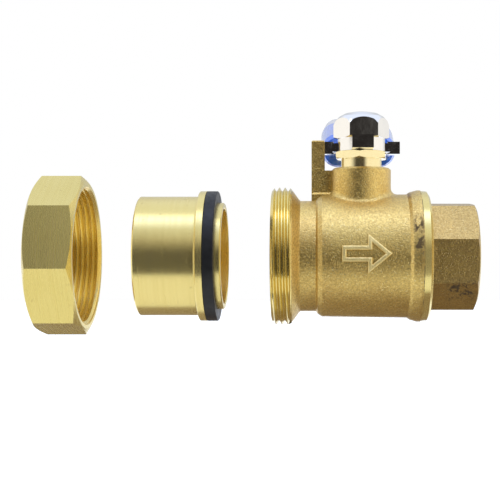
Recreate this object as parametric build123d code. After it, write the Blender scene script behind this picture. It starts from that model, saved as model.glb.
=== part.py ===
from build123d import *
import math
import os

os.makedirs("parts", exist_ok=True)

# Millimetres. The origin is the centre of the end plane of the threaded port.
# +X leaves the port along the waterway, +Z runs up the stem, and the lever of the
# closed valve points along +Y. The valve is shut and the union is apart at rest.

# ---- driving dimensions ------------------------------------------------------

BORE_R = 10.0  # full bore of a 20 mm valve
BALL_R = 15.0
STEM_X = -39.5  # the stem and the ball share this axis
RUN = 0.05  # clearance of a running fit, and of a screwed joint drawn without its thread
WRENCH = 17.0  # across flats of the gland nut and the lever nut

# union screw thread, M48 x 2
PITCH = 2.0
CREST_R = 23.95
ROOT_R = 22.75
FLANK = 30.0
THREAD_GAP = 0.19  # axial play of the nut on the thread
GROOVE_OVER = 0.12  # a groove's cutter stands this far out of the wall it cuts

# port thread, G 3/4
PORT_PITCH = 1.814
PORT_MINOR_R = 12.3  # near the upper limit of the standard, so the crests are flat
PORT_MAJOR_R = 13.22
PORT_FLANK = 27.5
PORT_DEPTH = 14.5
PORT_CHAMFER = 0.4

# stations along the valve body, from the union end to the port end
BODY_END = -70.7
THREAD_END = -64.0
SHOULDER_END = -61.4
NECK_END = -55.4
BARREL_START = -53.3
COLLAR_START = -23.2
JOINT = -19.2
FLANGE_END = -16.2

NECK_R = 19.3
BARREL_R = 21.2
BARREL_DRAFT = 0.4  # the casting widens this much towards the joint
ARROW_BEAD = 1.5
ARROW_R = 22.3  # from the waterway's axis to the top of the bead
COLLAR_R = 23.0
FLANGE_R = 22.8

# inside the valve body
SEAT_R = 14.0
SEAT_BACK = 14.4  # from the ball's centre to the back of a seat
SEAT_FRONT = 9.0
CAVITY_R = 16.0
SPIGOT_R = 18.0
SPIGOT_END = -29.6
SEAL_T = 1.0
MOUTH_R = 18.9
MOUTH_DEPTH = 2.8

# stem, boss and gland
STEM_R = 5.0
BOSS_R = 10.35
BOSS_TOP = 30.7
BOSS_FILLET = 2.2
COLLAR_STEM_R = 7.2
COLLAR_LOW = 15.3
COLLAR_TOP = 18.0
THRUST_T = 1.2
GUIDE_TOP = 22.0
PACKING_R = 7.1
PACKING_T = 1.7
FOLLOWER_T = 1.0
GLAND_HEX_LOW = 33.9
GLAND_TOP = 36.5

# lever and its fastening
LEVER_LOW = 36.6
LEVER_T = 3.0
STEM_TOP = 47.5
WASHER_T = 1.4
WASHER_R = 8.3
NUT_TOP = 50.5
EAR_REACH = 14.15
EAR_FRONT = 8.55
EAR_BACK = 13.6
TAB_HALF = 3.65
TAB_REACH = 15.5
FLATS = 7.0  # across the two flats of the stem

# stop post on the body
POST_NEAR = 12.8
POST_FAR = 17.5
POST_FRONT = 3.7
POST_BACK = 8.5
POST_TOP = 41.0

# tailpiece and gasket, apart from the valve
TAIL_LEFT = -116.9
FLANGE_LEFT = -95.8
GASKET_LEFT = -93.3
GASKET_RIGHT = -89.5
REGISTER_RIGHT = -87.4
SLEEVE_R = 20.8
TAIL_FLANGE_R = 22.7
REGISTER_R = 18.65
SOCKET_R = 16.7

# union nut, further left
NUT_LEFT = -152.0
NUT_RIGHT = -135.5
NUT_FLATS = 52.0
LIP_T = 3.5
LIP_R = 21.1
RELIEF_W = 2.2
SLIP_T = 0.8

TAIL_TRAVEL = BODY_END - GASKET_RIGHT
NUT_SEAT = NUT_LEFT + LIP_T


# ---- ways of making shapes ---------------------------------------------------


def turned(points):
    """A body turned about the X axis, from (x, radius) corners."""
    outline = Polyline(*[(x, r, 0) for x, r in points], close=True)
    return revolve(make_face(outline), Axis.X)


def spun(points):
    """A body turned about the stem axis, from (radius, z) corners."""
    outline = Polyline(*[(STEM_X + r, 0, z) for r, z in points], close=True)
    return revolve(make_face(outline), Axis((STEM_X, 0, 0), (0, 0, 1)))


def tube(x1, x2, outer, inner):
    """A plain ring about the X axis."""
    return turned([(x1, inner), (x2, inner), (x2, outer), (x1, outer)])


def stem_ring(z1, z2, outer, inner):
    """A plain ring about the stem axis."""
    return spun([(inner, z1), (inner, z2), (outer, z2), (outer, z1)])


def block(x, y, z):
    """A box between two limits on each axis, with X counted from the stem."""
    size = [high - low for low, high in (x, y, z)]
    middle = [(high + low) / 2 for low, high in (x, y, z)]
    return Pos(STEM_X + middle[0], middle[1], middle[2]) * Box(*size)


def prism(x1, x2, flats, sides, turn):
    """A regular prism about the X axis, with its first corner turned up from +Y."""
    corner_r = flats / 2 / math.cos(math.pi / sides)
    outline = RegularPolygon(corner_r, sides, rotation=turn)
    return Plane.YZ.offset(x1) * extrude(outline, x2 - x1)


def hexagon(z1, z2, turn):
    """A hexagonal prism about the stem axis, with its first corner turned from +X."""
    corner_r = WRENCH / 2 / math.cos(math.pi / 6)
    outline = RegularPolygon(corner_r, 6, rotation=turn)
    return Pos(STEM_X, 0, z1) * extrude(outline, z2 - z1)


def screw_groove(pitch, x, turns, near, far):
    """A right-handed screw-shaped cutter about +X that starts at x.

    near and far are (radius, half width) of the groove's two edges.
    """
    middle_r = (near[0] + far[0]) / 2
    path = Helix(pitch, pitch * turns, middle_r, center=(x, 0, 0), direction=(1, 0, 0))
    start = path @ 0
    out = Vector(0, start.Y, start.Z).normalized()
    plane = Plane(origin=(x, 0, 0), x_dir=(1, 0, 0), z_dir=Vector(1, 0, 0).cross(out))
    corners = [(-near[1], near[0]), (near[1], near[0]), (far[1], far[0]), (-far[1], far[0])]
    section = plane * make_face(Polyline(*corners, close=True))
    return sweep(section, path=path, is_frenet=True)


def save(shape, node):
    """Write one node as a STEP file."""
    shape.label = node
    export_step(shape, f"parts/{node}.step")


# ---- valve body --------------------------------------------------------------


def body_outside():
    """The casting's outside: screwed end, neck, barrel and collar in one turning."""
    barrel_end_r = BARREL_R + BARREL_DRAFT
    points = [
        (BODY_END, 0),
        (BODY_END, ROOT_R - 0.1),
        (BODY_END + 1.0, CREST_R),
        (THREAD_END - 0.8, CREST_R),
        (THREAD_END, CREST_R - 0.5),
        (SHOULDER_END, NECK_R + 0.6),
        (SHOULDER_END + 0.6, NECK_R),
        (NECK_END, NECK_R),
        (NECK_END + 0.6, BARREL_R - 0.9),
        (BARREL_START, BARREL_R),
        (COLLAR_START - 0.6, barrel_end_r),
        (COLLAR_START + 0.4, barrel_end_r + 0.7),
        (COLLAR_START + 1.8, COLLAR_R - 0.3),
        (COLLAR_START + 3.0, COLLAR_R),
        (JOINT, COLLAR_R),
        (JOINT, 0),
    ]
    return turned(points)


def body_inside():
    """Everything bored out of the casting along the waterway."""
    seat_floor = STEM_X - SEAT_BACK
    throat = seat_floor - 4.0
    pocket_floor = BODY_END + MOUTH_DEPTH
    nose = SPIGOT_END - SEAL_T
    points = [
        (BODY_END, 0),
        (BODY_END, MOUTH_R + 0.6),
        (BODY_END + 0.6, MOUTH_R),
        (pocket_floor, MOUTH_R),
        (pocket_floor, 15.5),
        (throat, BORE_R),
        (seat_floor, BORE_R),
        (seat_floor, SEAT_R + RUN),
        (STEM_X - 10.5, SEAT_R + RUN),
        (STEM_X - 10.5, CAVITY_R),
        (nose, CAVITY_R),
        (nose, SPIGOT_R),
        (JOINT, SPIGOT_R),
        (JOINT, 0),
    ]
    return turned(points)


def boss():
    """The stem boss: a round tower with a broken top edge."""
    return spun([
        (0, 12),
        (BOSS_R, 12),
        (BOSS_R, BOSS_TOP - 0.7),
        (BOSS_R - 0.7, BOSS_TOP),
        (0, BOSS_TOP),
    ])


def boss_on_barrel(barrel):
    """The barrel with the boss cast on, and a fillet where they meet."""
    joined = barrel + boss()

    def at_foot(edge):
        middle = edge.center()
        out = math.hypot(middle.X - STEM_X, middle.Y)
        return abs(out - BOSS_R) < 1.0 and 15 < middle.Z < BARREL_R + 2

    foot = [edge for edge in joined.edges() if at_foot(edge)]
    return fillet(foot, BOSS_FILLET)


def boss_inside():
    """The stem's stepped hole: collar room below, guide, and packing room above."""
    ceiling = COLLAR_TOP + THRUST_T + RUN
    points = [
        (0, 8),
        (COLLAR_STEM_R + 0.1, 8),
        (COLLAR_STEM_R + 0.1, ceiling),
        (STEM_R + RUN, ceiling),
        (STEM_R + RUN, GUIDE_TOP),
        (PACKING_R, GUIDE_TOP),
        (PACKING_R, BOSS_TOP - 0.5),
        (PACKING_R + 0.5, BOSS_TOP),
        (0, BOSS_TOP),
    ]
    return spun(points)


def stop_post():
    """The square post that the lever turns against, and its web to the boss."""
    post = block((-POST_FAR, -POST_NEAR), (POST_FRONT, POST_BACK), (12, POST_TOP))
    post = fillet(post.edges().group_by(Axis.Z)[-1], 0.6)
    web = block((-POST_NEAR - 1, -6), (POST_FRONT, POST_BACK), (12, BOSS_TOP - 0.4))
    gusset = block((-POST_FAR, -6), (POST_FRONT - 0.8, POST_BACK + 0.8), (12, BARREL_R + 1.3))
    return post + web + chamfer(gusset.edges().group_by(Axis.Z)[-1], 0.7)


def flow_arrow():
    """A raised outline arrow on the front of the barrel that shows the flow towards the port."""
    tail, head, tip = -8.2, 0.4, 8.6
    half, wing = 2.7, 6.7
    outer = [(tail, -half), (head, -half), (head, -wing), (tip, 0), (head, wing), (head, half), (tail, half)]
    outline = make_face(Polyline(*outer, close=True))
    ring = outline - offset(outline, -ARROW_BEAD, kind=Kind.INTERSECTION)
    front = Plane(origin=(STEM_X + 1, -BARREL_R - 5, 0.8), x_dir=(1, 0, 0), z_dir=(0, -1, 0))
    bar = front * extrude(ring, -BARREL_R / 2)
    arrow = bar & tube(BARREL_START + 0.5, COLLAR_START - 0.8, ARROW_R, BARREL_R - 1.5)

    def on_top(edge):
        return all(abs(math.hypot(end.Y, end.Z) - ARROW_R) < 0.01 for end in (edge @ 0, edge @ 1))

    return fillet([edge for edge in arrow.edges() if on_top(edge)], ARROW_BEAD / 3)


# each groove runs out less than one turn past the metal that it cuts
union_groove_start = NUT_SEAT + RELIEF_W * 0.7
whole_turns = round((BODY_END - union_groove_start - TAIL_TRAVEL) / PITCH - 1)
# screwed home, the nut's groove holds the body's ridge, half a pitch from the body's groove
body_groove_start = union_groove_start + TAIL_TRAVEL + (whole_turns + 0.5) * PITCH
slope = math.tan(math.radians(FLANK))
groove_root = 0.175
groove_far_r = CREST_R + GROOVE_OVER
groove_top = groove_root + slope * (groove_far_r - ROOT_R)
BODY_TURNS = 3.5
body_groove = screw_groove(
    PITCH, body_groove_start, BODY_TURNS, (ROOT_R, groove_root), (groove_far_r, groove_top)
)

valve_body = boss_on_barrel(body_outside() - body_groove) + stop_post() + flow_arrow()
valve_body = valve_body - body_inside() - boss_inside()
save(valve_body, "valve_body")

# ---- end cap with the port ---------------------------------------------------

cap_turning = turned([
    (SPIGOT_END, BORE_R),
    (SPIGOT_END, SPIGOT_R - 0.8),
    (SPIGOT_END + 0.8, SPIGOT_R - RUN),
    (JOINT, SPIGOT_R - RUN),
    (JOINT, FLANGE_R),
    (FLANGE_END - 0.8, FLANGE_R - 0.2),
    (FLANGE_END, FLANGE_R - 1.4),
    (FLANGE_END, BORE_R),
])
octagon = prism(FLANGE_END - 0.2, 0, 36.0, 8, 28)
octagon_envelope = turned([
    (FLANGE_END - 0.2, 0),
    (FLANGE_END - 0.2, 20.2),
    (-1.3, 20.2),
    (-0.35, 18.0),
    (0, 17.4),
    (0, 0),
])
port_inside = turned([
    (SPIGOT_END, 0),
    (SPIGOT_END, SEAT_R + RUN),
    (STEM_X + SEAT_BACK, SEAT_R + RUN),
    (STEM_X + SEAT_BACK, BORE_R),
    (-PORT_DEPTH - 1.2, BORE_R),
    (-PORT_DEPTH, 11.2),
    (-PORT_DEPTH, PORT_MAJOR_R + 0.1),
    (-PORT_DEPTH + 2.0, PORT_MAJOR_R + 0.1),
    (-PORT_DEPTH + 2.6, PORT_MINOR_R),
    (-PORT_CHAMFER, PORT_MINOR_R),
    (0, PORT_MINOR_R + PORT_CHAMFER),
    (0, 0),
])
port_root = 0.1
port_near_r = PORT_MINOR_R - GROOVE_OVER
port_top = port_root + math.tan(math.radians(PORT_FLANK)) * (PORT_MAJOR_R - port_near_r)
port_groove_start = -PORT_DEPTH + 1.6
port_turns = (0.9 - port_groove_start) / PORT_PITCH
port_groove = screw_groove(
    PORT_PITCH, port_groove_start, port_turns, (port_near_r, port_top), (PORT_MAJOR_R, port_root)
)
end_cap = cap_turning + (octagon & octagon_envelope) - port_inside - port_groove
save(end_cap, "end_cap")

save(tube(SPIGOT_END - SEAL_T, SPIGOT_END, SPIGOT_R - RUN, CAVITY_R + 0.15), "body_joint_seal")

# ---- ball and its seats ------------------------------------------------------

ball = Pos(STEM_X, 0, 0) * Sphere(BALL_R)
ball -= Pos(STEM_X, 0, 0) * Rot(90, 0, 0) * Cylinder(BORE_R, 3 * BALL_R)
ball -= block((-BALL_R, BALL_R), (-2.55, 2.55), (11.2, BALL_R + 1))
save(ball, "ball")

seat_back = STEM_X - SEAT_BACK
seat = tube(seat_back, STEM_X - SEAT_FRONT, SEAT_R, BORE_R + 0.2)
seat -= Pos(STEM_X, 0, 0) * Sphere(BALL_R + RUN)
save(seat, "inlet_seat")
save(mirror(seat, Plane.YZ.offset(STEM_X)), "outlet_seat")

# ---- stem, its seals and the gland nut ---------------------------------------

O_RING_Z = 20.6
O_RING_T = 1.5
O_RING_DEPTH = 1.2

stem_turning = spun([
    (0, COLLAR_LOW),
    (COLLAR_STEM_R - 0.4, COLLAR_LOW),
    (COLLAR_STEM_R, COLLAR_LOW + 0.4),
    (COLLAR_STEM_R, COLLAR_TOP),
    (STEM_R, COLLAR_TOP),
    (STEM_R, O_RING_Z - O_RING_T / 2),
    (STEM_R - O_RING_DEPTH, O_RING_Z - O_RING_T / 2),
    (STEM_R - O_RING_DEPTH, O_RING_Z + O_RING_T / 2),
    (STEM_R, O_RING_Z + O_RING_T / 2),
    (STEM_R, LEVER_LOW),
    (STEM_R - RUN, LEVER_LOW),
    (STEM_R - RUN, STEM_TOP - 1.0),
    (STEM_R - 1.0, STEM_TOP),
    (0, STEM_TOP),
])
tang = block((-4.8, 4.8), (-2.5, 2.5), (11.5, COLLAR_LOW + 0.1))
side = block((-STEM_R - 1, STEM_R + 1), (FLATS / 2, STEM_R + 1), (LEVER_LOW, STEM_TOP + 1))
stem = stem_turning + tang - side - mirror(side, Plane.XZ)
save(stem, "stem")

save(stem_ring(COLLAR_TOP, COLLAR_TOP + THRUST_T, COLLAR_STEM_R, STEM_R + 0.02), "stem_thrust_washer")

o_ring_r = (O_RING_DEPTH + RUN - 0.01) / 2
o_ring = Pos(STEM_X, 0, O_RING_Z) * Torus(STEM_R - O_RING_DEPTH + o_ring_r, o_ring_r)
save(o_ring, "stem_o_ring")

packing_top = GUIDE_TOP
for name in ("lower", "middle", "upper"):
    ring = stem_ring(packing_top, packing_top + PACKING_T, PACKING_R, STEM_R + RUN)
    save(ring, f"packing_ring_{name}")
    packing_top += PACKING_T

gland_low = packing_top + FOLLOWER_T
save(stem_ring(packing_top, gland_low, PACKING_R, STEM_R + RUN), "gland_follower")

gland_neck = spun([
    (STEM_R + RUN, gland_low),
    (PACKING_R - 0.5, gland_low),
    (PACKING_R - RUN, gland_low + 0.5),
    (PACKING_R - RUN, GLAND_HEX_LOW + 0.1),
    (STEM_R + RUN, GLAND_HEX_LOW + 0.1),
])
gland_envelope = spun([
    (STEM_R + RUN, GLAND_HEX_LOW),
    (8.9, GLAND_HEX_LOW),
    (9.9, GLAND_HEX_LOW + 0.5),
    (9.9, GLAND_TOP - 0.5),
    (8.9, GLAND_TOP),
    (STEM_R + RUN, GLAND_TOP),
])
save(gland_neck + (hexagon(GLAND_HEX_LOW, GLAND_TOP, 24) & gland_envelope), "gland_nut")

# ---- lever, grip, washer and nut ---------------------------------------------

LEVER_TOP = LEVER_LOW + LEVER_T
LIP_TOP = LEVER_TOP + WASHER_T
ARM_HALF = 11.0
# the middle of the plate, seen from the side as (y, z)
arm_line = [(6.0, LEVER_LOW + LEVER_T / 2), (24.0, LEVER_LOW + LEVER_T / 2), (46.0, 46.0), (88.0, 53.2)]


def strip(points, thickness):
    """A bent strip's side outline in the YZ plane, with rounded bends."""
    face = None
    for (y1, z1), (y2, z2) in zip(points, points[1:]):
        length = math.hypot(y2 - y1, z2 - z1)
        angle = math.degrees(math.atan2(z2 - z1, y2 - y1))
        bar = Pos((y1 + y2) / 2, (z1 + z2) / 2) * Rot(0, 0, angle) * Rectangle(length, thickness)
        face = bar if face is None else face + bar + Pos(y1, z1) * Circle(thickness / 2)
    return face


hub = Pos(STEM_X, 0, LEVER_LOW + LEVER_T / 2) * Cylinder(WASHER_R, LEVER_T)
tab = block((-TAB_HALF, TAB_HALF), (-TAB_REACH, 0), (LEVER_LOW, LEVER_TOP))
tab_lip = block((-TAB_HALF, TAB_HALF), (-TAB_REACH, -WASHER_R - 0.6), (LEVER_LOW, LIP_TOP))
shoulder = block((-EAR_REACH, EAR_REACH), (EAR_FRONT, EAR_BACK), (LEVER_LOW, LEVER_TOP))
shoulder += block((-10.2, 10.2), (0, EAR_BACK), (LEVER_LOW, LEVER_TOP)) - stem_ring(30, 50, 30, 10.2)
ears = block((9.6, EAR_REACH), (EAR_FRONT, EAR_BACK), (LEVER_LOW, LIP_TOP))
ears += mirror(ears, Plane.YZ.offset(STEM_X))
arm_side = Plane.YZ.offset(STEM_X - ARM_HALF) * extrude(strip(arm_line, LEVER_T), 2 * ARM_HALF)
arm = arm_side & block((-ARM_HALF, ARM_HALF), (EAR_FRONT, 100), (0, 80))
stem_hole = Pos(STEM_X, 0, LEVER_LOW + LEVER_T / 2) * Cylinder(STEM_R, 2 * LEVER_T)
stem_hole &= block((-STEM_R, STEM_R), (-FLATS / 2 - RUN, FLATS / 2 + RUN), (0, NUT_TOP))
lever = hub + tab + tab_lip + shoulder + ears + arm - stem_hole
save(lever, "lever")

# the grip's cross sections as (y, middle z, width, height)
grip_sections = [
    (27.0, 39.2, 25.6, 10.4),
    (29.0, 39.8, 27.6, 12.4),
    (46.0, 46.0, 28.0, 12.4),
    (90.0, 53.5, 25.4, 11.4),
    (93.0, 54.0, 23.0, 9.0),
]


def grip_section(y, z, width, height):
    """One rounded cross section of the grip, square to the Y axis."""
    plane = Plane(origin=(STEM_X, y, z), x_dir=(1, 0, 0), z_dir=(0, -1, 0))
    return plane * RectangleRounded(width, height, height * 0.47)


grip = loft([grip_section(*values) for values in grip_sections], ruled=True)
save(grip - lever, "lever_grip")

save(stem_ring(LEVER_TOP, LIP_TOP, WASHER_R, STEM_R + 0.1), "lever_washer")

nut_envelope = spun([
    (0, LIP_TOP),
    (8.7, LIP_TOP),
    (9.9, LIP_TOP + 0.6),
    (9.9, 45.6),
    (9.2, 47.2),
    (7.8, 48.7),
    (5.8, 49.8),
    (3.2, NUT_TOP - 0.2),
    (0, NUT_TOP),
])
nut_hole = spun([(0, LIP_TOP), (STEM_R, LIP_TOP), (STEM_R, STEM_TOP + RUN), (0, STEM_TOP + RUN)])
save((hexagon(LIP_TOP, NUT_TOP, 4) & nut_envelope) - nut_hole, "lever_nut")

# ---- tailpiece and gasket ----------------------------------------------------

union_tail = turned([
    (TAIL_LEFT, SOCKET_R + 0.6),
    (TAIL_LEFT, SLEEVE_R - 0.5),
    (TAIL_LEFT + 0.5, SLEEVE_R),
    (FLANGE_LEFT - 0.5, SLEEVE_R),
    (FLANGE_LEFT, SLEEVE_R + 0.2),
    (FLANGE_LEFT, TAIL_FLANGE_R - 0.3),
    (FLANGE_LEFT + 0.3, TAIL_FLANGE_R),
    (GASKET_LEFT, TAIL_FLANGE_R),
    (GASKET_LEFT, REGISTER_R),
    (REGISTER_RIGHT - 0.4, REGISTER_R),
    (REGISTER_RIGHT, REGISTER_R - 0.4),
    (REGISTER_RIGHT, SOCKET_R + 0.3),
    (REGISTER_RIGHT - 0.3, SOCKET_R),
    (TAIL_LEFT + 0.6, SOCKET_R),
])
save(union_tail, "union_tail")

union_gasket = turned([
    (GASKET_LEFT, REGISTER_R + RUN),
    (GASKET_LEFT, TAIL_FLANGE_R - 0.25),
    (GASKET_LEFT + 0.25, TAIL_FLANGE_R),
    (GASKET_RIGHT - 0.25, TAIL_FLANGE_R),
    (GASKET_RIGHT, TAIL_FLANGE_R - 0.25),
    (GASKET_RIGHT, REGISTER_R + RUN),
])
save(union_gasket, "union_gasket")

# ---- union nut and its slip ring ---------------------------------------------

NUT_MINOR_R = ROOT_R + 0.25
NUT_MAJOR_R = CREST_R + 0.25

nut_corner_r = NUT_FLATS / 2 / math.cos(math.pi / 8)
nut_envelope_x = turned([
    (NUT_LEFT, LIP_R),
    (NUT_LEFT, 25.4),
    (NUT_LEFT + 1.5, nut_corner_r + 0.1),
    (NUT_RIGHT - 1.5, nut_corner_r + 0.1),
    (NUT_RIGHT, 25.4),
    (NUT_RIGHT, NUT_MAJOR_R),
    (NUT_RIGHT - 1.2, NUT_MINOR_R),
    (NUT_SEAT + RELIEF_W + 0.5, NUT_MINOR_R),
    (NUT_SEAT + RELIEF_W, NUT_MAJOR_R + 0.1),
    (NUT_SEAT, NUT_MAJOR_R + 0.1),
    (NUT_SEAT, LIP_R),
])
ridge_top = PITCH / 2 - groove_root - slope * (CREST_R - ROOT_R)
nut_groove_root = ridge_top + THREAD_GAP / 2 - slope * (NUT_MAJOR_R - CREST_R)
nut_near_r = NUT_MINOR_R - GROOVE_OVER
nut_groove_top = nut_groove_root + slope * (NUT_MAJOR_R - nut_near_r)
nut_turns = (NUT_RIGHT + 0.9 - union_groove_start) / PITCH
nut_groove = screw_groove(
    PITCH, union_groove_start, nut_turns, (nut_near_r, nut_groove_top), (NUT_MAJOR_R, nut_groove_root)
)
union_nut = (prism(NUT_LEFT, NUT_RIGHT, NUT_FLATS, 8, 8.5) & nut_envelope_x) - nut_groove
save(union_nut, "union_nut")

save(tube(NUT_SEAT, NUT_SEAT + SLIP_T, TAIL_FLANGE_R, LIP_R), "union_slip_ring")
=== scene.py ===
import math

import bpy
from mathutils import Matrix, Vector


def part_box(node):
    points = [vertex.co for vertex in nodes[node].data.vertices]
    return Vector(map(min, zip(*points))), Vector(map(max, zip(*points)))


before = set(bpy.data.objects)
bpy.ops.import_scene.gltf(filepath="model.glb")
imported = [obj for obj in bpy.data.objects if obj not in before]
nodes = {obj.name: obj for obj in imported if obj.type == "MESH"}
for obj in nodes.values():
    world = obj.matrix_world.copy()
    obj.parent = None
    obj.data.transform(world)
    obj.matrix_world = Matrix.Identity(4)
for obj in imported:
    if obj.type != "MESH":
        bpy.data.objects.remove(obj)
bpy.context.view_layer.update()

scene = bpy.context.scene

MM = 0.001
deg = math.radians

# ---- places read from the frame ----------------------------------------------

body_low, body_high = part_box("valve_body")
cap_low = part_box("end_cap")[0]
stem_low, stem_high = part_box("stem")
STEM_X = (stem_low[0] + stem_high[0]) / 2
THREAD_END = body_low[0] + 7.0 * MM
JOINT_X = body_high[0]
FLANGE_END = cap_low[0] + 13.4 * MM

# distances from the waterway's axis: what lies nearer than the first two is machined,
# and the arrow's top is at the third
BODY_BORED_R = 19.0 * MM
CAP_BORED_R = 14.35 * MM
ARROW_R = 22.2 * MM


# ---- material helpers --------------------------------------------------------


class Nodes:
    """A node tree with short calls for the nodes used here."""

    def __init__(self, tree, coordinates):
        self.tree = tree
        self.coords = tree.nodes.new("ShaderNodeTexCoord").outputs[coordinates]
        split = tree.nodes.new("ShaderNodeSeparateXYZ")
        tree.links.new(self.coords, split.inputs[0])
        self.x, self.y, self.z = split.outputs

    def plug(self, socket, value):
        """Put a number, a colour or another node's output into a socket."""
        if isinstance(value, bpy.types.NodeSocket):
            self.tree.links.new(value, socket)
        else:
            socket.default_value = value

    def math(self, operation, a, b=0.0):
        node = self.tree.nodes.new("ShaderNodeMath")
        node.operation = operation
        self.plug(node.inputs[0], a)
        self.plug(node.inputs[1], b)
        return node.outputs[0]

    def ramp(self, value, low, high, start=0.0, end=1.0):
        """Map value from low..high to start..end, smoothly and clamped."""
        node = self.tree.nodes.new("ShaderNodeMapRange")
        node.interpolation_type = "SMOOTHSTEP"
        for socket, number in zip(node.inputs, (value, low, high, start, end)):
            self.plug(socket, number)
        return node.outputs[0]

    def between(self, value, low, high, edge):
        """1 where value lies between low and high, with soft edges."""
        up = self.ramp(value, low - edge, low + edge)
        down = self.ramp(value, high - edge, high + edge, 1.0, 0.0)
        return self.math("MULTIPLY", up, down)

    def scaled(self, x=1.0, y=1.0, z=1.0):
        """The object's coordinates, stretched along its axes."""
        node = self.tree.nodes.new("ShaderNodeMapping")
        self.plug(node.inputs["Vector"], self.coords)
        node.inputs["Scale"].default_value = (x, y, z)
        return node.outputs[0]

    def noise(self, scale, detail=3.0, roughness=0.5, vector=None, distortion=0.0):
        node = self.tree.nodes.new("ShaderNodeTexNoise")
        self.plug(node.inputs["Vector"], vector or self.coords)
        node.inputs["Scale"].default_value = scale
        node.inputs["Detail"].default_value = detail
        node.inputs["Roughness"].default_value = roughness
        node.inputs["Distortion"].default_value = distortion
        return node.outputs["Fac"]

    def cells(self, scale):
        node = self.tree.nodes.new("ShaderNodeTexVoronoi")
        self.plug(node.inputs["Vector"], self.coords)
        node.inputs["Scale"].default_value = scale
        return node.outputs["Distance"]

    def mix(self, amount, a, b):
        """Blend two colours."""
        node = self.tree.nodes.new("ShaderNodeMix")
        node.data_type = "RGBA"
        self.plug(node.inputs["Factor"], amount)
        self.plug(node.inputs["A"], a)
        self.plug(node.inputs["B"], b)
        return node.outputs["Result"]

    def blend(self, amount, a, b):
        """Blend two numbers."""
        node = self.tree.nodes.new("ShaderNodeMix")
        self.plug(node.inputs["Factor"], amount)
        self.plug(node.inputs["A"], a)
        self.plug(node.inputs["B"], b)
        return node.outputs["Result"]

    def bump(self, height, depth, strength=1.0, before=None):
        """Raise the surface by height, where 1 is depth metres."""
        node = self.tree.nodes.new("ShaderNodeBump")
        self.plug(node.inputs["Height"], height)
        self.plug(node.inputs["Strength"], strength)
        node.inputs["Distance"].default_value = depth
        if before is not None:
            self.plug(node.inputs["Normal"], before)
        return node.outputs["Normal"]


class Shader(Nodes):
    """A material with one Principled shader."""

    def __init__(self, name):
        self.material = bpy.data.materials.new(name)
        self.material.use_nodes = True
        super().__init__(self.material.node_tree, "Object")
        self.bsdf = self.tree.nodes["Principled BSDF"]

    def set(self, **values):
        """Set the shader's own sockets, with spaces written as underscores."""
        for name, value in values.items():
            self.plug(self.bsdf.inputs[name.replace("_", " ")], value)


def rgb(r, g, b):
    return (r, g, b, 1.0)


def wear(material, *node_names):
    """Give CAD nodes one material."""
    for node_name in node_names:
        slots = nodes[node_name].data.materials
        slots.clear()
        slots.append(material)


# ---- brass -------------------------------------------------------------------

CAST_LIGHT = rgb(0.94, 0.70, 0.23)
CAST_DARK = rgb(0.62, 0.385, 0.11)
CAST_FLECK = rgb(1.0, 0.86, 0.42)
GRIT = rgb(0.40, 0.25, 0.07)
PATINA = rgb(0.26, 0.155, 0.06)
# lighter brass for the arrow's top: wear, and also a painted highlight
RUBBED_HIGHLIGHT = rgb(0.98, 0.80, 0.36)
TURNED_LIGHT = rgb(0.90, 0.76, 0.32)
TURNED_DARK = rgb(0.80, 0.63, 0.21)
# painted reflection: the deeper gold used inside bores stands in for light bouncing between the bore's
# walls
BORE_REFLECTION_GOLD = rgb(0.98, 0.75, 0.23)
NUT_LIGHT = rgb(0.84, 0.70, 0.26)
NUT_DARK = rgb(0.73, 0.58, 0.17)
GLAND_LIGHT = rgb(1.0, 0.90, 0.56)
GLAND_DARK = rgb(0.97, 0.82, 0.45)
TARNISH = rgb(0.085, 0.062, 0.045)
# the share of a surface that is dull with oxide
TURNED_OXIDE = 0.16
CAST_OXIDE = 0.10


def lathe_lines(shader, pitch):
    """Fine rings left by turning about the X axis."""
    ring = shader.scaled(1.0, 0.012, 0.012)
    return shader.noise(1.0 / pitch, 2.0, 0.6, ring)


def nowhere(s):
    """An empty mask."""
    return 0.0


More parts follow.
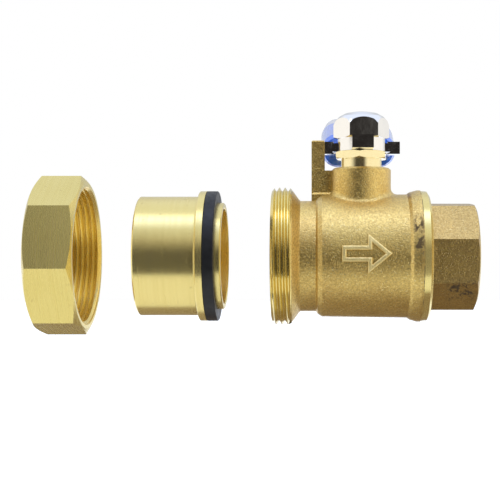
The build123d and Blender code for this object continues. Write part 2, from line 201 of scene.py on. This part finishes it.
def cast_brass(name, machined, smudges, patina, relief, rubbed_highlight=nowhere):
    """Shot-blasted brass. machined, smudges and the rubbed mask take the shader and give masks; the
    rubbed mask is wear and also a painted highlight.
    """
    s = Shader(name)
    cut = machined(s)
    stain = smudges(s)
    proud_highlight = rubbed_highlight(s)
    patch = s.ramp(s.noise(70.0, 4.0, 0.6), 0.38, 0.66)
    fleck = s.ramp(s.noise(1900.0, 3.0, 0.7), 0.56, 0.68)
    grit = s.ramp(s.noise(1500.0, 2.0, 0.6), 0.40, 0.60)
    cast = s.mix(s.math("MULTIPLY", patch, 0.45), CAST_LIGHT, CAST_DARK)
    cast = s.mix(s.math("MULTIPLY", grit, 0.42), cast, GRIT)
    cast = s.mix(s.math("MULTIPLY", fleck, 0.75), cast, CAST_FLECK)
    cast = s.mix(s.blend(patch, patina, patina * 0.7), cast, PATINA)
    # painted highlight, partly wear: the arrow's top turns lighter
    cast = s.mix(proud_highlight, cast, RUBBED_HIGHLIGHT)
    turned = s.mix(s.noise(160.0), TURNED_LIGHT, TURNED_DARK)
    colour = s.mix(cut, cast, turned)
    rough = s.blend(fleck, 0.29, 0.23)
    rough = s.blend(proud_highlight, rough, 0.38)
    rough = s.blend(cut, rough, 0.20)
    s.set(
        Base_Color=s.mix(stain, colour, TARNISH),
        Metallic=1.0 - CAST_OXIDE,
        Roughness=s.blend(stain, rough, 0.75),
    )
    grain = s.noise(2200.0, 3.0, 0.75)
    pits = s.ramp(s.cells(1900.0), 0.10, 0.55)
    blasted = s.math("ADD", grain, s.math("MULTIPLY", pits, 0.5))
    blasted = s.math("MULTIPLY", blasted, s.math("SUBTRACT", 1.0, cut))
    skin = s.bump(blasted, relief, 0.9)
    lines = s.math("MULTIPLY", lathe_lines(s, 0.12 * MM), cut)
    s.set(Normal=s.bump(lines, 0.01 * MM, 0.7, skin))
    return s.material


def from_axis(s):
    """The distance from the waterway's axis."""
    across = s.math("ADD", s.math("MULTIPLY", s.y, s.y), s.math("MULTIPLY", s.z, s.z))
    return s.math("SQRT", across)


def body_machined(s):
    """The screwed end and the bores along the waterway."""
    screwed = s.ramp(s.x, THREAD_END - 0.1 * MM, THREAD_END + 0.3 * MM, 1.0, 0.0)
    bored = s.ramp(from_axis(s), BODY_BORED_R - 0.05 * MM, BODY_BORED_R + 0.05 * MM, 1.0, 0.0)
    return s.math("MAXIMUM", screwed, bored)


def body_rubbed_highlight(s):
    """The top of the raised arrow: kept bright by handling, and also a painted highlight where the bead
    catches the light.
    """
    proud_highlight = s.ramp(from_axis(s), ARROW_R - 0.45 * MM, ARROW_R)
    along = s.between(s.x, STEM_X - 9.5 * MM, STEM_X + 11.5 * MM, 0.3 * MM)
    height = s.between(s.z, -8.0 * MM, 9.0 * MM, 0.3 * MM)
    front = s.ramp(s.y, -10.0 * MM, -12.0 * MM)
    return s.math("MULTIPLY", s.math("MULTIPLY", proud_highlight, along), s.math("MULTIPLY", height, front))


def body_smudges(s):
    """A little dark thread sealant squeezed out beside the cap joint, on the front."""
    here = s.between(s.x, JOINT_X - 3.4 * MM, JOINT_X - 0.2 * MM, 0.6 * MM)
    height = s.between(s.z, 0.5 * MM, 13.0 * MM, 2.5 * MM)
    front = s.ramp(s.y, -8.0 * MM, -12.0 * MM)
    torn = s.ramp(s.noise(210.0, 6.0, 0.7, distortion=2.2), 0.47, 0.57)
    dots = s.math("MULTIPLY", s.math("MULTIPLY", here, height), s.math("MULTIPLY", torn, front))
    seam = s.between(s.x, JOINT_X - 0.25 * MM, JOINT_X + 1.0 * MM, 0.1 * MM)
    seam = s.math("MULTIPLY", seam, s.ramp(s.noise(200.0, 4.0, distortion=1.0), 0.42, 0.6))
    return s.math("MAXIMUM", s.math("MULTIPLY", dots, 0.85), s.math("MULTIPLY", seam, 0.7))


def cap_machined(s):
    """The round flange, the port's end face and the bores."""
    flange = s.ramp(s.x, FLANGE_END - 0.1 * MM, FLANGE_END + 0.1 * MM, 1.0, 0.0)
    face = s.ramp(s.x, -0.25 * MM, -0.1 * MM)
    bored = s.ramp(from_axis(s), CAP_BORED_R - 0.05 * MM, CAP_BORED_R + 0.05 * MM, 1.0, 0.0)
    return s.math("MAXIMUM", flange, s.math("MAXIMUM", face, bored))


def cap_smudges(s):
    """Dark scuffs low on the octagon's front."""
    along = s.between(s.x, -11.0 * MM, -1.5 * MM, 1.5 * MM)
    height = s.between(s.z, -15.0 * MM, -8.0 * MM, 2.0 * MM)
    front = s.ramp(s.y, -8.0 * MM, -10.0 * MM)
    torn = s.ramp(s.noise(420.0, 6.0, 0.8, distortion=0.8), 0.47, 0.58)
    scuff = s.math("MULTIPLY", s.math("MULTIPLY", along, height), s.math("MULTIPLY", torn, front))
    return s.math("MULTIPLY", scuff, 0.9)


def turned_brass(name, roughness, line_pitch, line_depth, light, dark, grain=0.0, bore_r=0.0):
    """Bright brass from the lathe, with rings about the X axis, a few nicks and a bore painted deeper
    gold as a painted reflection of its own walls.
    """
    s = Shader(name)
    lines = lathe_lines(s, line_pitch)
    cloud = s.noise(45.0, 2.0)
    speck = s.ramp(s.noise(700.0, 3.0), 0.68, 0.74)
    band = s.ramp(lathe_lines(s, 6.0 * line_pitch), 0.38, 0.68)
    colour = s.mix(s.math("MULTIPLY", cloud, 0.8), light, dark)
    colour = s.mix(s.math("MULTIPLY", band, 0.35), colour, dark)
    colour = s.mix(s.math("MULTIPLY", speck, 0.35), colour, rgb(0.35, 0.22, 0.07))
    if bore_r:
        # painted reflection: inside bore_r the colour turns deeper gold, standing in for light bounced
        # between the bore's walls
        bore_reflection = s.ramp(from_axis(s), bore_r, bore_r + 0.3 * MM, 0.75, 0.0)
        colour = s.mix(bore_reflection, colour, BORE_REFLECTION_GOLD)
    dull = s.math("ADD", s.math("MULTIPLY", lines, 0.10), s.math("MULTIPLY", band, 0.04))
    s.set(
        Base_Color=colour,
        Metallic=1.0 - TURNED_OXIDE,
        Roughness=s.math("ADD", dull, roughness - 0.05),
    )
    skin = s.bump(lines, line_depth, 0.8)
    if grain:
        skin = s.bump(s.noise(2200.0, 3.0, 0.7), grain, 0.8, skin)
    s.set(Normal=skin)
    return s.material


body_brass = cast_brass("cast brass body", body_machined, body_smudges, 0.12, 0.12 * MM, body_rubbed_highlight)
cap_brass = cast_brass("cast brass cap", cap_machined, cap_smudges, 0.62, 0.10 * MM)
tail_brass = turned_brass(
    "turned brass", 0.22, 0.14 * MM, 0.006 * MM, TURNED_LIGHT, TURNED_DARK, bore_r=17.0 * MM
)
nut_brass = turned_brass(
    "milled brass", 0.25, 0.12 * MM, 0.003 * MM, NUT_LIGHT, NUT_DARK, grain=0.012 * MM, bore_r=24.3 * MM
)
gland_brass = turned_brass("bright brass", 0.13, 0.20 * MM, 0.002 * MM, GLAND_LIGHT, GLAND_DARK)

wear(body_brass, "valve_body")
wear(cap_brass, "end_cap")
wear(tail_brass, "union_tail", "union_slip_ring", "gland_follower", "stem")
wear(nut_brass, "union_nut")
wear(gland_brass, "gland_nut")

# ---- chrome ------------------------------------------------------------------


def chrome_plate(name, dull, bright, wave):
    """Polished plating with a faint orange peel that is wave metres deep."""
    s = Shader(name)
    s.set(
        Base_Color=s.mix(s.noise(120.0), rgb(0.93, 0.92, 0.91), rgb(0.84, 0.84, 0.86)),
        Metallic=1.0,
        Roughness=s.ramp(s.noise(300.0, 3.0), 0.3, 0.75, bright, dull),
        Normal=s.bump(s.noise(260.0, 3.0), wave, 0.6),
    )
    return s.material


wear(chrome_plate("chrome plate", 0.09, 0.035, 0.05 * MM), "lever_nut", "ball")
wear(chrome_plate("chrome plate pressed", 0.16, 0.08, 0.22 * MM), "lever", "lever_washer")

# ---- rubber, sealing rings and the grip --------------------------------------


def black_rubber():
    """Moulded rubber with a satin skin."""
    s = Shader("black rubber")
    s.set(
        Base_Color=s.mix(s.noise(400.0, 4.0), rgb(0.006, 0.0065, 0.008), rgb(0.018, 0.019, 0.022)),
        Roughness=s.ramp(s.noise(700.0, 3.0), 0.3, 0.7, 0.36, 0.52),
        Specular_IOR_Level=0.35,
        Normal=s.bump(s.noise(1600.0, 3.0, 0.6), 0.03 * MM, 0.6),
    )
    return s.material


def white_plastic():
    """The waxy white plastic of seats and packing, with faint turning rings."""
    s = Shader("white sealing plastic")
    s.set(
        Base_Color=s.mix(s.noise(300.0), rgb(0.85, 0.85, 0.83), rgb(0.76, 0.76, 0.74)),
        Roughness=0.42,
        Normal=s.bump(lathe_lines(s, 0.15 * MM), 0.006 * MM, 0.5),
    )
    return s.material


def blue_vinyl():
    """Thick dipped vinyl, glossy and a little uneven."""
    s = Shader("blue dipped vinyl")
    s.set(
        Base_Color=s.mix(s.noise(60.0, 2.0), rgb(0.040, 0.17, 0.80), rgb(0.055, 0.20, 0.86)),
        Roughness=s.ramp(s.noise(200.0, 3.0), 0.3, 0.7, 0.16, 0.24),
        Normal=s.bump(s.noise(90.0, 2.0), 0.12 * MM, 0.5),
        Coat_Weight=1.0,
        Coat_Roughness=0.10,
        Coat_IOR=1.8,
        Sheen_Weight=0.6,
        Sheen_Roughness=0.35,
    )
    return s.material


wear(black_rubber(), "union_gasket", "stem_o_ring")
wear(
    white_plastic(), "inlet_seat", "outlet_seat", "body_joint_seal", "stem_thrust_washer",
    "packing_ring_lower", "packing_ring_middle", "packing_ring_upper",
)
wear(blue_vinyl(), "lever_grip")

# ---- edges -------------------------------------------------------------------


def soften(width, *node_names):
    """Round the shown edges of CAD nodes a little, as handling and plating do."""
    for node_name in node_names:
        bevel = nodes[node_name].modifiers.new("worn edges", "BEVEL")
        bevel.width = width
        bevel.segments = 2
        bevel.limit_method = "ANGLE"
        bevel.angle_limit = deg(28)
        bevel.harden_normals = True


soften(0.30 * MM, "lever", "lever_nut")
soften(0.22 * MM, "gland_nut", "lever_washer")

# ---- camera ------------------------------------------------------------------

EYE = Vector((-0.054, -0.386, 0.0))

camera_data = bpy.data.cameras.new("camera")
camera_data.lens = 79.2
camera_data.shift_x = -0.14
camera_data.shift_y = 0.012
camera_data.clip_start = 0.01
camera = bpy.data.objects.new("camera", camera_data)
scene.collection.objects.link(camera)
camera.location = EYE
camera.rotation_euler = (deg(90), 0, 0)
scene.camera = camera

# ---- studio ------------------------------------------------------------------

scene.view_settings.view_transform = "Standard"
scene.view_settings.look = "None"

DARK = rgb(0.021, 0.018, 0.016)
WALL = rgb(1.10, 1.05, 0.95)
BACKDROP = rgb(0.66, 0.69, 0.73)
CEILING = rgb(0.90, 0.98, 1.16)
LAMP = rgb(1.30, 1.55, 2.50)

world = bpy.data.worlds.new("studio")
world.use_nodes = True
scene.world = world
sky = Nodes(world.node_tree, "Generated")
background = sky.tree.nodes["Background"]
# the room is a white tent, open towards the front, where the dark room shows
height = sky.math("ARCSINE", sky.z)
turn = sky.math("ARCTAN2", sky.x, sky.math("MULTIPLY", sky.y, -1.0))
# the opening reaches highest on the far left and lowest a little left of the middle
opening_top = sky.ramp(turn, deg(-16), deg(-9), deg(22), deg(2))
opening_top = sky.math("ADD", opening_top, sky.ramp(turn, deg(-6), deg(-2), 0.0, deg(7)))
above = sky.ramp(height, opening_top, sky.math("ADD", opening_top, deg(42)))
left_wall = sky.ramp(turn, deg(-70), deg(-28), 1.0, 0.0)
right_wall = sky.ramp(turn, deg(8), deg(36))
not_left = sky.math("SUBTRACT", 1.0, left_wall)
not_right = sky.math("SUBTRACT", 1.0, right_wall)
not_above = sky.math("SUBTRACT", 1.0, above)
opening = sky.math("MULTIPLY", sky.math("MULTIPLY", not_left, not_right), not_above)
tent = sky.mix(sky.ramp(height, deg(15), deg(50)), WALL, CEILING)
tent = sky.mix(sky.ramp(sky.y, 0.5, 0.9), tent, BACKDROP)
lamp_band = sky.between(height, deg(58), deg(78), deg(6))
in_front = sky.ramp(sky.y, -0.05, 0.05, 1.0, 0.0)
tent = sky.mix(sky.math("MULTIPLY", lamp_band, in_front), tent, LAMP)
# the camera itself sees plain white
seen = sky.tree.nodes.new("ShaderNodeLightPath").outputs["Is Camera Ray"]
sky.plug(background.inputs["Color"], sky.mix(seen, sky.mix(opening, tent, DARK), rgb(1, 1, 1)))


def flat_material(name, colour, glow):
    """A dull colour that also glows by itself."""
    material = bpy.data.materials.new(name)
    material.use_nodes = True
    shader = material.node_tree.nodes["Principled BSDF"]
    shader.inputs["Base Color"].default_value = colour
    shader.inputs["Roughness"].default_value = 1.0
    shader.inputs["Specular IOR Level"].default_value = 0.0
    shader.inputs["Emission Color"].default_value = colour
    shader.inputs["Emission Strength"].default_value = glow
    return material


def card(name, x, y, z, material):
    """A level studio card between two limits in X and Y."""
    mesh = bpy.data.meshes.new(name)
    corners = [(x[0], y[0], z), (x[1], y[0], z), (x[1], y[1], z), (x[0], y[1], z)]
    mesh.from_pydata(corners, [], [(0, 1, 2, 3)])
    mesh.materials.append(material)
    sheet = bpy.data.objects.new(name, mesh)
    scene.collection.objects.link(sheet)
    return sheet


FLOOR_Z = -0.14
FLOOR_FRONT = -0.205
SHADE_BEHIND_FRONT = 0.045
paper = flat_material("pale paper", rgb(0.90, 0.90, 0.86), 0.38)
card("floor", (-3, 3), (FLOOR_FRONT, 3), FLOOR_Z, paper)

# a straw-coloured card, and dark sheets of painted floor shade under and behind the object, which only
# show in reflections
straw = flat_material("straw card", rgb(0.76, 0.74, 0.64), 0.36)
# painted shade: the dark glowing sheets stand in for the floor's shadow under and behind the object,
# seen only in reflections
floor_shade = flat_material("painted floor shade", rgb(0.165, 0.12, 0.075), 0.6)
for sheet_name, sheet_x, sheet_y, lift, material in (
    ("straw card", (-0.40, 0.40), (FLOOR_FRONT, SHADE_BEHIND_FRONT), 1 * MM, straw),
    ("painted shade behind", (-0.25, 0.10), (SHADE_BEHIND_FRONT, 0.40), 2 * MM, floor_shade),
    ("painted shade below valve", (-0.080, 0.12), (-0.075, SHADE_BEHIND_FRONT), 2 * MM, floor_shade),
):
    sheet = card(sheet_name, sheet_x, sheet_y, FLOOR_Z + lift, material)
    sheet.visible_camera = False
    sheet.visible_diffuse = False
    sheet.visible_shadow = False


def softbox(name, place, size, power, target):
    """A rectangular soft light turned towards a target."""
    lamp = bpy.data.lights.new(name, "AREA")
    lamp.shape = "RECTANGLE"
    lamp.size, lamp.size_y = size
    lamp.energy = power
    holder = bpy.data.objects.new(name, lamp)
    holder.location = place
    holder.rotation_euler = (Vector(target) - Vector(place)).to_track_quat("-Z", "Y").to_euler()
    scene.collection.objects.link(holder)


softbox("top softbox", (-0.05, -0.16, 0.67), (1.0, 0.18), 0.55, target=(-0.06, 0, 0))
